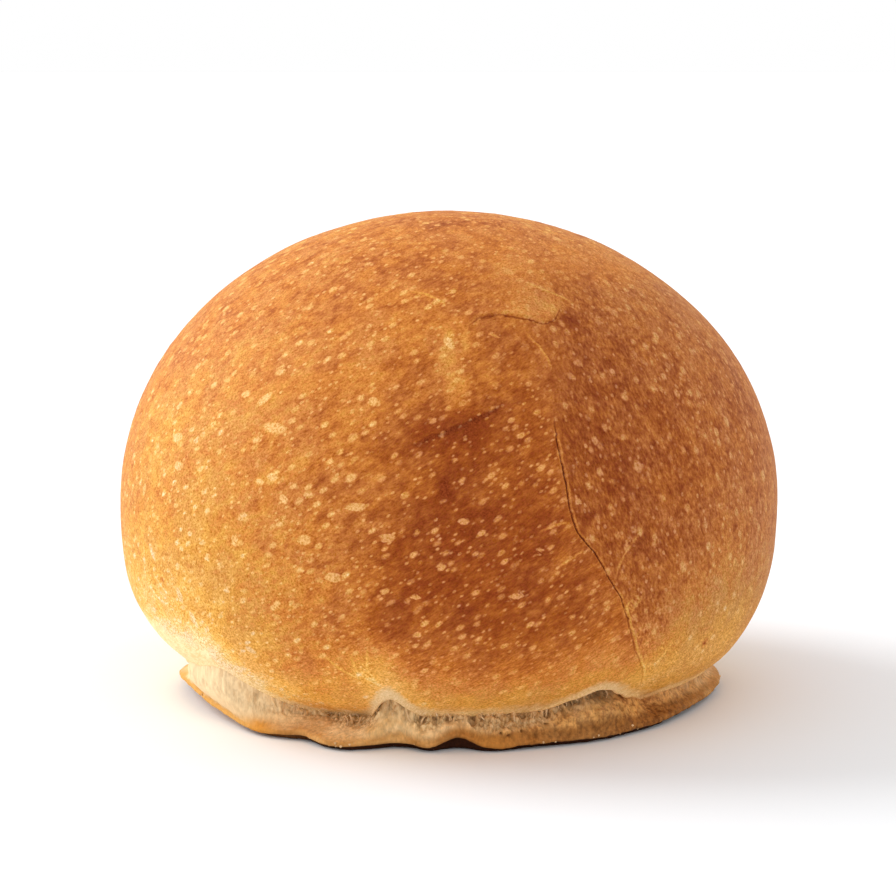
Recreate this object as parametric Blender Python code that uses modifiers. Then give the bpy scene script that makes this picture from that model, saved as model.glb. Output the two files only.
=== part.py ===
"""A round crusty bread roll, whole and uncut, standing on its flat base.

The dough was one ball. In the oven its skin set first, and the roll went on rising, so it
tore open all round, low down. What the roll shows is therefore a high crust dome that
overhangs its foot, a low band of pale torn crumb, and the thin rim of the base crust,
which lies on the table with its edge curled up a little. It is all one solid.

Metres, +Z up. The origin is the centre of the flat base.
"""

import math

import bpy

# The driving sizes of the roll.
WIDTH = 0.100
HEIGHT = 0.072
WIDEST_HEIGHT = 0.0283  # of the dome's widest ring above the table
RIM_RADIUS = 0.0412  # of the base crust's edge
FOOT_RADIUS = 0.0390  # of the flat part that lies on the table

# The dome is half an ellipse above its widest ring, and below it a squarer curve.
UNDERCUT_ROUND = 2.23
UNDERCUT_SQUARE = 4.43

# The torn band, between the dome's lower edge and the rim.
TEAR_HEIGHT = 0.0050
LIP_DROP = 0.0007  # the crust's edge turns under by this much
RECESS = 0.0009  # the crumb lies this far inside the crust's edge
RIM_TOP = 0.0020
RIM_TIP = 0.0012  # height of the rim's outermost edge
RIM_UNDER = 0.0006
TEAR_REACH = 0.0120  # how far up the dome a shift of the tear is felt

# How finely the form is cut into facets.
TURN_STEPS = 96
UPPER_STEPS = 13
LOWER_STEPS = 11
BAND_STEPS = 3
MERGE = 0.0001

# Where the tear climbs or dips, round the roll: (azimuth, spread, rise). Azimuth 0 is the
# side towards -Y, and azimuths grow towards +X.
TEAR_SHIFTS = [
    (-58, 9, 0.0034),
    (-46, 5, 0.0032),
    (-24, 9, -0.0020),
    (-11.1, 2.2, 0.0055),
    (30, 6, 0.0037),
    (46, 2.5, -0.0011),
    (75, 18, -0.0006),
    (118, 12, 0.0030),
    (150, 9, -0.0012),
    (178, 10, 0.0026),
    (-140, 16, 0.0020),
    (-95, 10, -0.0006),
]

# Where the low skin sagged out or drew in: (azimuth, spread, outward, height, spread up and
# down).
SAGS = [
    (78, 20, 0.00175, 0.0035, 0.0040),
    (84, 25, 0.00030, 0.0140, 0.0045),
    (-84, 25, 0.00045, 0.0145, 0.0045),
    (-84, 20, -0.00055, 0.0050, 0.0020),
]

# Where the rim's edge stands out and lifts off the table: (azimuth, spread, outward, lift).
RIM_LOBES = [
    (-100, 9, -0.0018, 0.0),
    (-70, 12, 0.0002, 0.0017),
    (-39, 7, 0.0016, -0.00045),
    (-29.5, 2.2, -0.0007, 0.0002),
    (-20.5, 5, 0.0025, -0.0004),
    (-10, 3, -0.0008, 0.0),
    (-3.5, 2.4, 0.0012, -0.00035),
    (2, 2.6, -0.0007, 0.0011),
    (9, 4.5, 0.0011, -0.0004),
    (28, 9, 0.001, -0.0003),
    (45, 8, 0.0004, -0.0002),
    (84, 9, 0.0006, 0.0002),
    (102, 8, -0.0015, 0.0),
    (135, 10, -0.0008, 0.0004),
    (165, 9, 0.0006, 0.0),
    (-150, 10, 0.0005, 0.0002),
    (-125, 9, -0.0008, 0.0003),
]

# How far the flat foot draws back under the rim: (azimuth, spread, inward).
TUCKED = [(-73, 15, 0.0035), (82, 14, 0.0030), (170, 40, 0.0010)]

# The dough's own unevenness: (waves round the roll, share of the radius, phase in degrees).
LUMPS = [(3, 0.0045, 40), (4, 0.0030, 115), (7, 0.0014, 10)]

HALF_WIDTH = WIDTH / 2
CRUST = (0.55, 0.25, 0.08, 1.0)


def clear_scene():
    for thing in list(bpy.data.objects):
        bpy.data.objects.remove(thing)


def crust_material():
    """Baked crust: brown, with a dull sheen."""
    crust = bpy.data.materials.new("baked_crust")
    crust.use_nodes = True
    shader = crust.node_tree.nodes["Principled BSDF"]
    shader.inputs["Base Color"].default_value = CRUST
    shader.inputs["Roughness"].default_value = 0.5
    shader.inputs["Metallic"].default_value = 0.0
    return crust


def dome_radius(height):
    """The dome's radius at a height above the table."""
    if height >= WIDEST_HEIGHT:
        share = (height - WIDEST_HEIGHT) / (HEIGHT - WIDEST_HEIGHT)
        return HALF_WIDTH * math.sqrt(max(0.0, 1 - share * share))
    share = (WIDEST_HEIGHT - height) / WIDEST_HEIGHT
    return HALF_WIDTH * (1 - share**UNDERCUT_ROUND) ** (1 / UNDERCUT_SQUARE)


def turned_outline():
    """Half of the roll's plain section, (radius, height), from the crown down to the base."""
    outline = []
    for step in range(UPPER_STEPS):
        angle = math.pi / 2 * (1 - step / UPPER_STEPS)
        rise = (HEIGHT - WIDEST_HEIGHT) * math.sin(angle)
        outline.append((HALF_WIDTH * math.cos(angle), WIDEST_HEIGHT + rise))
    for step in range(LOWER_STEPS + 1):
        drop = (WIDEST_HEIGHT - TEAR_HEIGHT) * math.sin(math.pi / 2 * step / LOWER_STEPS)
        outline.append((dome_radius(WIDEST_HEIGHT - drop), WIDEST_HEIGHT - drop))
    edge_radius = dome_radius(TEAR_HEIGHT)
    band_top = TEAR_HEIGHT - LIP_DROP
    for step in range(BAND_STEPS):
        share = step / BAND_STEPS
        outline.append((edge_radius - RECESS, band_top + (RIM_TOP - band_top) * share))
    outline += [
        (RIM_RADIUS - 0.5 * RECESS, RIM_TOP),
        (RIM_RADIUS, RIM_TIP),
        (0.5 * FOOT_RADIUS + 0.5 * RIM_RADIUS, RIM_UNDER),
        (FOOT_RADIUS, 0.0),
        (FOOT_RADIUS * 2 / 3, 0.0),
        (FOOT_RADIUS / 3, 0.0),
        (0.0, 0.0),
    ]
    return outline


def turned_body(outline):
    """The outline as a mesh line, turned about +Z by a Screw modifier, as a plain mesh."""
    line = bpy.data.meshes.new("outline")
    corners = [(radius, 0.0, height) for radius, height in outline]
    edges = [(index, index + 1) for index in range(len(corners) - 1)]
    line.from_pydata(corners, edges, [])
    guide = bpy.data.objects.new("outline", line)
    bpy.context.scene.collection.objects.link(guide)
    turn = guide.modifiers.new("turn", "SCREW")
    turn.axis = "Z"
    turn.angle = math.tau
    turn.steps = TURN_STEPS
    turn.render_steps = TURN_STEPS
    turn.use_merge_vertices = True
    turn.merge_threshold = MERGE
    bpy.context.view_layer.update()
    seen = guide.evaluated_get(bpy.context.evaluated_depsgraph_get())
    body = bpy.data.meshes.new_from_object(seen)
    bpy.data.objects.remove(guide)
    return body


def bump(azimuth, centre, spread):
    """1 at the centre azimuth and 0 well away from it, all in degrees."""
    away = (azimuth - centre + 180) % 360 - 180
    return math.exp(-0.5 * (away / spread) ** 2)


def tear_height(azimuth):
    """Height of the crust's lower edge at an azimuth."""
    shifts = sum(rise * bump(azimuth, at, spread) for at, spread, rise in TEAR_SHIFTS)
    return TEAR_HEIGHT + shifts


def sagged_radius(azimuth, height):
    """The dome's radius at a height and an azimuth, with the sags of its low skin."""
    radius = dome_radius(height)
    for at, spread, outward, level, tall in SAGS:
        near = math.exp(-0.5 * ((height - level) / tall) ** 2)
        radius += outward * bump(azimuth, at, spread) * near
    return radius


def knead(azimuth, radius, height):
    """Where a point of the plain turned body goes on the real, uneven roll."""
    edge = tear_height(azimuth)
    out = sum(lobe * bump(azimuth, at, spread) for at, spread, lobe, _ in RIM_LOBES)
    lift = sum(rise * bump(azimuth, at, spread) for at, spread, _, rise in RIM_LOBES)
    if height >= TEAR_HEIGHT - 1e-6:
        felt = max(0.0, 1 - (height - TEAR_HEIGHT) / TEAR_REACH)
        moved = height + (edge - TEAR_HEIGHT) * felt * felt
        if moved < WIDEST_HEIGHT:
            radius = sagged_radius(azimuth, moved)
        height = moved
    elif height > RIM_TOP + 1e-6:
        share = (height - RIM_TOP) / (TEAR_HEIGHT - RIM_TOP)
        edge_shift = sagged_radius(azimuth, edge) - dome_radius(TEAR_HEIGHT)
        radius += edge_shift * share + out * (1 - share)
        height += (edge - TEAR_HEIGHT) * share + lift * (1 - share)
    elif radius > FOOT_RADIUS - 1e-6:
        share = (radius - FOOT_RADIUS) / (RIM_RADIUS - FOOT_RADIUS)
        tuck = sum(inward * bump(azimuth, at, spread) for at, spread, inward in TUCKED)
        radius += out * share - tuck * (1 - share)
        height += lift * share
    grown = min(1.0, height / WIDEST_HEIGHT)
    crown = max(0.0, min(1.0, radius / HALF_WIDTH))
    for waves, share, phase in LUMPS:
        wave = math.cos(math.radians(waves * azimuth + phase))
        radius *= 1 + share * wave * grown * crown
    return radius, height


def bread_roll():
    """The whole roll: the turned body, kneaded to its real form."""
    body = turned_body(turned_outline())
    for corner in body.vertices:
        x, y, height = corner.co
        radius = math.hypot(x, y)
        if radius < MERGE:
            continue
        azimuth = math.degrees(math.atan2(x, -y))
        new_radius, new_height = knead(azimuth, radius, height)
        corner.co = (x * new_radius / radius, y * new_radius / radius, new_height)
    body.name = "bread_roll"
    body.materials.append(crust_material())
    body.shade_smooth()
    roll = bpy.data.objects.new("bread_roll", body)
    parts = bpy.data.collections.new("bread_roll")
    bpy.context.scene.collection.children.link(parts)
    parts.objects.link(roll)
    return roll


clear_scene()
bread_roll()
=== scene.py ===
"""A round crusty bread roll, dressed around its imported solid.

Metres, +Z up, the roll standing on the table at z = 0 with its long crack towards -Y.
Azimuths are in degrees round +Z: 0 is the side towards -Y, and they grow towards +X.
"""

import math

import bpy
import numpy as np
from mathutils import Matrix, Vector, kdtree, noise


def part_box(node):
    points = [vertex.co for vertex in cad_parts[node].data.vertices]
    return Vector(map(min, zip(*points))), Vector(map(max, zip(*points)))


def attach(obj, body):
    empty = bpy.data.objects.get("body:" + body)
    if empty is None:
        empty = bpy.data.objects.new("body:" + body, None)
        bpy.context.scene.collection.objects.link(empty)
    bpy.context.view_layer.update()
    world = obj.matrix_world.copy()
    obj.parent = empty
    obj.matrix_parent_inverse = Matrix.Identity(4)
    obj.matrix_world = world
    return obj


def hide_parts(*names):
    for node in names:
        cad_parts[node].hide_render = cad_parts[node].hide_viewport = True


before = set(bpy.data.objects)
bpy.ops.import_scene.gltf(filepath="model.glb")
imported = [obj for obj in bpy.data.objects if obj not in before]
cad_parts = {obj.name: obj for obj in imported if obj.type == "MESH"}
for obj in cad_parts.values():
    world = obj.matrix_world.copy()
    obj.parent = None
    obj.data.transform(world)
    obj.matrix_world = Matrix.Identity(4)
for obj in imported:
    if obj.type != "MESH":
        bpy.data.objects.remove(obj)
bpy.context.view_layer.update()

# --- The crust -------------------------------------------------------------------------------
# The dome of baked skin over the whole roll, down to the line where it tore in the oven.
# It is one ball of dough: a turned form, kneaded out of true, with a shrinkage crack down
# its front, folds of skin near the crown and a sprinkling of small pale blisters.

MM = 0.001
low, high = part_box("bread_roll")
HALF_WIDTH = 0.998 * (high.x - low.x) / 2
HEIGHT = high.z - 0.3 * MM
WIDEST_HEIGHT = 0.393 * high.z
UNDERCUT_ROUND = 2.23
UNDERCUT_SQUARE = 4.43
TEAR_HEIGHT = 5.0 * MM
TEAR_REACH = 12 * MM

# Where the tear climbs or dips: (azimuth, spread in degrees, rise in mm).
TEAR_SHIFTS = [
    (-58, 9, 3.4), (-46, 5, 3.2), (-24, 9, -2.0), (-11.1, 2.9, 4.6), (30, 6, 3.1),
    (46, 2.5, -1.1), (75, 18, -0.6), (118, 12, 3.0), (150, 9, -1.2), (178, 10, 2.6),
    (-140, 16, 2.0), (-95, 10, -0.6),
]
# Where the low skin sagged out or drew in: (azimuth, spread in degrees, then mm outward,
# height in mm and spread up and down in mm).
SAGS = [(78, 20, 1.75, 3.5, 4.0), (84, 25, 0.3, 14, 4.5), (-84, 25, 0.45, 14.5, 4.5)]
SAGS += [(-84, 20, -0.55, 5, 2.0)]
# Where the crust's edge is rolled thicker, and where it is tan, at the front's small tent and
# over the pocket under the crack: (azimuth, spread in degrees, share).
ROLLED_THICKER = [(-11, 6, 1.2)]
TAN_EDGE = [(-11, 6, 1.0), (31, 5, 0.7)]

# The crack's course up the crust: (height in mm, azimuth).
CRACK_COURSE = [
    (6.0, 40.5), (10.3, 37.0), (13.7, 33.3), (17.3, 31.0), (21.9, 28.7), (25.7, 25.6),
    (28.9, 23.5), (30.1, 22.0), (31.8, 20.5), (33.0, 19.8), (37.5, 19.0), (41.4, 18.5),
    (46.5, 18.4), (53.7, 20.7), (56.5, 18.9),
]
# How wide open the crack is up its course: (height in mm, share of full width).
CRACK_GAPE = [(6, 0.2), (12, 0.3), (18, 0.45), (21, 0.8), (30, 1.0), (43, 1.0)]
CRACK_GAPE += [(45.5, 0.5), (47.5, 0)]

# Folds where one layer of skin lies over another: the width of its dark line of painted shade
# in mm, how dark that line is, and the (azimuth, height in mm) of its course.
FOLDS = {
    "crown": (
        0.10,
        0.24,
        [(4.0, 57.5), (4.6, 58.5), (6.7, 59.2), (11.4, 59.7), (15.9, 59.4), (19.7, 58.8)]
        + [(21.7, 58.5), (23.7, 58.6), (25.3, 59.1), (26.8, 59.8), (28.5, 60.5), (30.3, 61.2)],
    ),
    "brow": (0.30, 0.42, [(11.1, 49.3), (7.0, 47.6), (1.2, 45.7), (-3.8, 44.3), (-6.2, 43.3)]),
}
# Thin pale stretch marks in the skin.
STRETCH_MARKS = [
    [(-11.5, 62.7), (-6.1, 62.3), (-3.5, 61.8), (-1.4, 61.2), (-0.2, 60.5)],
    [(22.0, 63.6), (24.9, 62.7), (28.1, 61.9), (30.3, 61.2), (32.0, 60.4)],
    [(16.5, 57.6), (18.4, 55.9), (19.7, 54.2), (19.9, 52.6)],
    [(8.2, 57.5), (11.4, 56.7)],
    [(27.0, 24.5), (27.7, 26.6), (28.9, 28.5), (30.8, 30.1), (33.0, 33.0)],
    [(29.2, 20.1), (29.9, 21.5), (31.7, 22.5)],
    [(30.0, 18.9), (32.9, 22.6)],
    [(32.1, 15.7), (33.7, 18.2)],
    [(21.9, 29.5), (19.9, 28.4), (16.8, 27.2)],
    [(19.6, 33.0), (17.5, 33.1), (15.5, 32.7), (13.6, 31.7)],
    [(-11.5, 9.5), (-13.5, 12.5), (-13.0, 17.0)],
    [(-11.0, 9.5), (-15.5, 12.0), (-16.0, 15.5)],
    [(-12.0, 9.5), (-18.5, 12.5), (-21.0, 14.5)],
    [(-58.8, 22.3), (-55.8, 20.6), (-53.1, 19.4)],
    [(-60.5, 19.8), (-57.8, 18.4), (-54.0, 17.6)],
    [(-62.0, 27.0), (-61.0, 23.5), (-62.5, 20.0)],
    [(40.9, 6.6), (37.5, 10.3), (33.8, 13.7), (31.4, 17.3), (29.4, 21.0), (28.0, 23.0)],
    [(38.5, 10.3), (40.5, 12.5), (41.5, 15.5)],
]

# Patches baked darker or left paler: (azimuth, height, spreads in degrees and mm, browning).
BROWNED = [
    # The dark front, under the brow.
    (2, 33, 13, 13, 0.22), (5, 31, 7, 6, 0.08), (0, 44, 8, 4, 0.08), (8, 18, 14, 5, 0.1),
    (-10, 21, 5, 5, 0.08), (17, 21, 8, 7, 0.05), (-24, 31, 7, 5, -0.07),
    # Right of the crack, and golden low down.
    (36, 42, 18, 20, 0.23), (24, 45, 5, 6, 0.06), (66, 43, 9, 10, 0.1), (55, 38, 22, 22, -0.05),
    (31, 12, 4, 4, 0.14), (44, 11, 5, 5, -0.17), (57, 14, 12, 6, -0.3), (54, 5.5, 15, 3.5, 0.24),
    (20, 5.5, 9, 2.5, 0.1),
    # The crown, and the fold of skin beside it.
    (17, 57, 9, 4, 0.05), (25.5, 60.3, 2.6, 0.8, -0.2), (27.8, 58.6, 2.0, 1.0, 0.25),
    (20.0, 60.6, 5.0, 1.2, -0.14), (-5, 66, 26, 5, 0.12), (24, 64.5, 8, 2.6, -0.13),
    # The golden patch over the brow, and the scorched brow.
    (1.0, 51.8, 1.7, 2.0, -0.19), (2.2, 49.0, 1.5, 0.9, -0.14), (-0.5, 54.6, 1.2, 1.1, -0.2),
    (0.4, 56.9, 0.9, 0.8, -0.4), (3.4, 56.4, 0.8, 0.8, -0.3),
    (4.0, 45.2, 5.5, 1.9, 0.17), (-5.0, 44.4, 2.5, 1.2, 0.12),
    # The left side, golden, and pale low down.
    (-22, 30, 12, 10, 0.05), (-52, 30, 16, 13, -0.2), (-60, 12, 15, 8, -0.45),
    (-40, 22, 8, 8, -0.08), (-57, 44, 12, 5, -0.14), (-48, 38, 16, 16, 0.05),
    (-38, 10, 8, 4, -0.14), (-13, 13, 2.5, 4.5, -0.13), (-12.5, 33.2, 3.5, 0.6, -0.16),
    # Brown smudges and dark specks.
    (-24, 37.5, 6, 2.5, 0.07), (-18, 33.8, 5, 1.0, 0.1), (-29, 29.5, 2.2, 1.6, 0.1),
    (-47, 41, 3.0, 1.0, 0.1), (-0.6, 38.3, 0.5, 0.5, 0.45), (-55.1, 21.4, 0.45, 0.4, 0.6),
    (51.5, 12.5, 0.5, 0.4, 0.6),
    # Behind.
    (120, 45, 26, 16, 0.22), (178, 30, 28, 14, 0.2), (-128, 36, 24, 15, 0.12),
    (150, 14, 20, 8, -0.2), (-100, 16, 24, 9, -0.3),
]
BROWNING = 0.55
# Flakes of pale skin that lifted as it baked: (azimuth, height, half length and half width in
# mm, slant in degrees).
FLAKES = [
    # On the left, high up.
    (-34.3, 48.4, 1.7, 0.62, 52), (-39.0, 48.8, 0.9, 0.65, 20), (-56.4, 45.9, 0.9, 0.6, 60),
    (-30.5, 44.9, 2.2, 0.9, -5), (-33.5, 43.2, 1.2, 0.55, 35), (-53.3, 41.8, 1.5, 0.9, 10),
    (-47.5, 42.0, 0.9, 0.6, 60), (-50.7, 38.2, 1.2, 0.9, 10),
    # On the left, half way up.
    (-29.1, 38.6, 1.1, 0.85, 15), (-31.4, 37.8, 0.9, 0.65, 0), (-26.6, 35.9, 1.0, 0.65, -60),
    (-22.3, 36.8, 0.9, 0.65, 0), (-34.0, 33.0, 1.4, 0.65, 40), (-62.0, 33.5, 1.3, 0.6, 80),
    (-22.7, 30.7, 1.3, 0.95, 20), (-35.5, 29.6, 1.3, 0.65, 80),
    # On the left, low down.
    (-58.0, 25.0, 1.8, 0.6, -60), (-41.5, 26.5, 0.9, 0.6, 70), (-37.5, 22.5, 0.9, 0.6, 30),
    (-50.0, 20.0, 1.6, 0.65, -75), (-47.5, 16.8, 1.8, 0.65, -80), (-35.2, 13.8, 1.1, 0.65, -35),
    # On the dark front.
    (0.2, 56.3, 1.1, 0.62, -60), (-13.2, 49.0, 0.75, 0.75, 0), (-14.4, 35.5, 1.8, 0.7, 5),
    (2.4, 33.8, 0.9, 0.65, 0), (-9.3, 31.6, 1.3, 0.75, 5), (14.2, 29.5, 0.8, 0.6, 40),
    (-17.9, 25.9, 1.3, 0.9, 0), (-4.9, 23.7, 1.1, 0.6, 32), (10.5, 23.6, 1.6, 0.65, 28),
]

# How finely the crust is cut into faces. Its columns are closer together beside the crack:
# (spread in degrees, how many times closer), and follow its course, less and less over
# CRACK_PULL degrees. Its rows are closer at the crown's fold: (height and spread in mm, how
# many times closer).
ROUND_COLUMNS = 704
ROW_STEP = 0.69 * MM
CRACK_COLUMNS = (0.9, 2.8)
CRACK_PULL = 85
FOLD_ROWS = (59.5, 2.6, 1.2)
# The dough's own unevenness: (waves round the roll, share of the radius, phase in degrees).
LUMPS = [(3, 0.0045, 40), (4, 0.0030, 115), (7, 0.0014, 10)]
# How the crust's edge turns in: (mm inward, mm down). Inside it the piece is closed by a few
# rings, whose radii are in mm.
LIP_SECTION = [(0.08, 0.25), (0.3, 0.5), (0.7, 0.62), (1.2, 0.5), (3.0, -2.5)]
CRUST_INNER_RINGS = (22, 10, 5, 2.5, 1.2)
CRUST_INNER_HEIGHT = 12 * MM


def bump(azimuth, centre, spread):
    """1 at the centre azimuth, falling to 0 on both sides of it."""
    away = (azimuth - centre + 180) % 360 - 180
    return np.exp(-0.5 * (away / spread) ** 2)


def bumps(azimuth, places):
    """The sum of a few bumps round the roll: each is (azimuth, spread in degrees, amount)."""
    return sum(amount * bump(azimuth, at, spread) for at, spread, amount in places)


def dome_radius(height):
    """The dome's radius at a height, before it is kneaded."""
    above = (height - WIDEST_HEIGHT) / (HEIGHT - WIDEST_HEIGHT)
    below = (WIDEST_HEIGHT - height) / WIDEST_HEIGHT
    upper = np.sqrt(np.clip(1 - above**2, 0, 1))
    lower = np.clip(1 - np.clip(below, 0, 1) ** UNDERCUT_ROUND, 0, 1) ** (1 / UNDERCUT_SQUARE)
    return HALF_WIDTH * np.where(height > WIDEST_HEIGHT, upper, lower)


def ragged(azimuth, finest, seed):
    """An uneven wave round the roll, about -1 to 1, with its shortest waves `finest` degrees."""
    wave = np.zeros_like(azimuth)
    turn = np.radians(azimuth)
    for octave, share in enumerate((0.5, 0.3, 0.2)):
        reach = math.radians(finest) * 2 ** (2 - octave)
        spots = zip(np.cos(turn) / reach, np.sin(turn) / reach)
        wave += share * np.array([noise.noise(Vector((x, y, seed + octave))) for x, y in spots])
    return 1.8 * wave


def tear_height(azimuth):
    """Height of the crust's torn lower edge."""
    return TEAR_HEIGHT + MM * (bumps(azimuth, TEAR_SHIFTS) + 0.45 * ragged(azimuth, 1.6, 3.1))


def crack_azimuth(height):
    """Where the crack stands at a height."""
    heights, azimuths = zip(*CRACK_COURSE)
    return np.interp(height / MM, heights, azimuths)


def sagged(azimuth, height):
    """The dome's radius at a height, with the sags of its low skin."""
    radius = dome_radius(height)
    for at, spread, out, level, tall in SAGS:
        near = np.exp(-0.5 * ((height / MM - level) / tall) ** 2)
        radius = radius + out * MM * bump(azimuth, at, spread) * near
    return radius


def kneaded(azimuth, radius, height):
    """Points (x, y, z) of a turned form, with the dough's own lumps."""
    grown = np.minimum(1, height / WIDEST_HEIGHT) * np.minimum(1, radius / HALF_WIDTH)
    for waves, share, phase in LUMPS:
        radius = radius * (1 + share * np.cos(np.radians(waves * azimuth + phase)) * grown)
    turn = np.radians(azimuth)
    flat = np.broadcast_to(height, radius.shape)
    return np.stack([radius * np.sin(turn), -radius * np.cos(turn), flat], axis=1)


def ring_columns(radius, full):
    """How many points a ring of this radius gets: halved again and again towards the axis."""
    halvings = max(0, math.floor(math.log2(HALF_WIDTH * 0.55 / max(radius, 1e-6)) + 1))
    return max(11, full >> halvings)


def placed(name, data):
    """A new thing in the scene, made from its data."""
    thing = bpy.data.objects.new(name, data)
    bpy.context.scene.collection.objects.link(thing)
    return thing


def closed_skin(name, rings, start, end):
    """A closed mesh from a start point through rings of points to an end point.

    A ring has as many points as the one before, half as many or twice as many.
    """
    points = [np.array([start])] + rings + [np.array([end])]
    firsts = np.cumsum([0] + [len(ring) for ring in points])
    faces = []
    for ring in range(1, len(points)):
        above, below = len(points[ring - 1]), len(points[ring])
        top, under = firsts[ring - 1], firsts[ring]
        if above == 1:
            faces += [(top, under + j, under + (j + 1) % below) for j in range(below)]
        elif below == 1:
            faces += [(under, top + (j + 1) % above, top + j) for j in range(above)]
        elif above == below:
            turned = [(j, (j + 1) % below) for j in range(below)]
            faces += [(top + j, under + j, under + k, top + k) for j, k in turned]
        else:
            widens = below > above
            coarse, fine, count = (top, under, above) if widens else (under, top, below)
            for j in range(count):
                near, far = coarse + j, coarse + (j + 1) % count
                left, mid, right = fine + 2 * j, fine + 2 * j + 1, fine + (2 * j + 2) % (2 * count)
                fan = [(near, left, mid), (near, mid, far), (far, mid, right)]
                faces += fan if widens else [face[::-1] for face in fan]
    mesh = bpy.data.meshes.new(name)
    mesh.from_pydata(np.concatenate(points).tolist(), [], faces)
    mesh.shade_smooth()
    return placed(name, mesh)


def column_offsets(count):
    """Azimuths of the columns, counted from the crack, and closest together beside it."""
    even = np.linspace(-180, 180, 20001)
    spread, closer = CRACK_COLUMNS
    density = 1 + closer * np.exp(-((even / spread) ** 2))
    share = np.cumsum(density)
    share = (share - share[0]) / (share[-1] - share[0])
    offsets = np.interp(np.arange(ROUND_COLUMNS) / ROUND_COLUMNS, share, even)
    return offsets[:: ROUND_COLUMNS // count]


def crust_rings():
    """The dome's rings, from the crown down to the torn edge and in under it."""
    heights = WIDEST_HEIGHT + (HEIGHT - WIDEST_HEIGHT) * np.cos(np.linspace(0, math.pi / 2, 800))
    drops = (WIDEST_HEIGHT - TEAR_HEIGHT) * np.sin(np.linspace(0, math.pi / 2, 400)[1:])
    heights = np.concatenate([heights, WIDEST_HEIGHT - drops])
    runs = np.hypot(np.diff(dome_radius(heights)), np.diff(heights))
    level, spread, closer = FOLD_ROWS
    runs *= 1 + closer * np.exp(-(((heights[1:] - level * MM) / (spread * MM)) ** 2))
    lengths = np.concatenate([[0], np.cumsum(runs)])
    rows = round(lengths[-1] / ROW_STEP)
    rings = []
    for row in range(1, rows + 1):
        height = np.interp(lengths[-1] * row / rows, lengths, heights)
        offsets = column_offsets(ring_columns(float(dome_radius(height)), ROUND_COLUMNS))
        azimuth = offsets + crack_azimuth(height) * np.exp(-((offsets / CRACK_PULL) ** 2))
        felt = max(0.0, 1 - (height - TEAR_HEIGHT) / TEAR_REACH) ** 2
        moved = height + (tear_height(azimuth) - TEAR_HEIGHT) * felt
        rings.append(kneaded(azimuth, sagged(azimuth, moved), moved))
    edge, edge_radius = moved, sagged(azimuth, moved)
    rolled = MM * (1 + bumps(azimuth, ROLLED_THICKER))
    for inward, drop in LIP_SECTION:
        rings.append(kneaded(azimuth, edge_radius - inward * rolled, edge - drop * rolled))
    for radius in CRUST_INNER_RINGS:
        azimuth = column_offsets(ring_columns(radius * MM, ROUND_COLUMNS))
        rings.append(kneaded(azimuth, np.full(len(azimuth), radius * MM), CRUST_INNER_HEIGHT))
    return rings


def points_of(piece):
    """The piece's points, their azimuths and heights in mm, as arrays."""
    flat = np.empty(3 * len(piece.data.vertices))
    piece.data.vertices.foreach_get("co", flat)
    points = flat.reshape(-1, 3)
    azimuth = np.degrees(np.arctan2(points[:, 0], -points[:, 1]))
    return points, azimuth, points[:, 2] / MM


def store(piece, name, values):
    """Keeps one number for each point of the piece, for its shapes and finish to read."""
    layer = piece.data.attributes.new(name, "FLOAT", "POINT")
    layer.data.foreach_set("value", np.ascontiguousarray(values, np.float32))


def beside_line(points, course, felt=2.2):
    """Signed distance in mm from a line on the dome, above it positive, and how near its middle.

    The second array is 1 along the line's middle, and 0 past its ends and further off than felt.
    """
    azimuths, heights = (np.array(axis, float) for axis in zip(*course))
    steps = np.linspace(0, len(course) - 1, 24 * len(course))
    azimuths = np.interp(steps, range(len(course)), azimuths)
    heights = np.interp(steps, range(len(course)), heights) * MM
    line = kneaded(azimuths, dome_radius(heights), heights)
    ahead = np.gradient(line, axis=0)
    outward = line - np.array([0, 0, 0.35 * HEIGHT])
    across = np.cross(outward, ahead)
    across /= np.linalg.norm(across, axis=1, keepdims=True)
    across *= np.sign(across[:, 2:3].sum())
    tree = kdtree.KDTree(len(line))
    for index, spot in enumerate(line):
        tree.insert(spot, index)
    tree.balance()
    side, nearness = np.full(len(points), 3.0), np.zeros(len(points))
    centre, reach = line.mean(axis=0), np.ptp(line, axis=0).max() + 6 * MM
    for index in np.flatnonzero(np.abs(points - centre).max(axis=1) < reach):
        _, near, distance = tree.find(points[index])
        side[index] = (points[index] - line[near]) @ across[near] / MM
        taper = min(1.0, 4.0 * min(near, len(line) - 1 - near) / len(line))
        nearness[index] = taper * math.exp(-((distance / (felt * MM)) ** 2))
    return side, nearness


def flakes(azimuth, height):
    """How deep inside a flake a point lies: 1 at its middle, 0 at its edge, down to -1 outside."""
    deepest = np.full(len(height), -1.0)
    for at, level, long, wide, slant in FLAKES:
        across = np.radians((azimuth - at + 180) % 360 - 180) * dome_radius(level * MM) / MM
        up = (height - level) * 1.25
        lean = math.radians(slant)
        along = across * math.cos(lean) + up * math.sin(lean)
        aside = up * math.cos(lean) - across * math.sin(lean)
        deepest = np.maximum(deepest, 1 - np.hypot(along / long, aside / wide))
    return deepest


crust = closed_skin("crust_dome", crust_rings(), (0, 0, HEIGHT), (0, 0, CRUST_INNER_HEIGHT))
points, azimuth, height = points_of(crust)
browning = np.full(len(points), BROWNING)
for at, level, width, tall, amount in BROWNED:
    browning += amount * bump(azimuth, at, width) * np.exp(-0.5 * ((height - level) / tall) ** 2)
store(crust, "browning", browning)
store(crust, "above_tear", height - tear_height(azimuth) / MM)
store(crust, "flake", flakes(azimuth, height))
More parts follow.
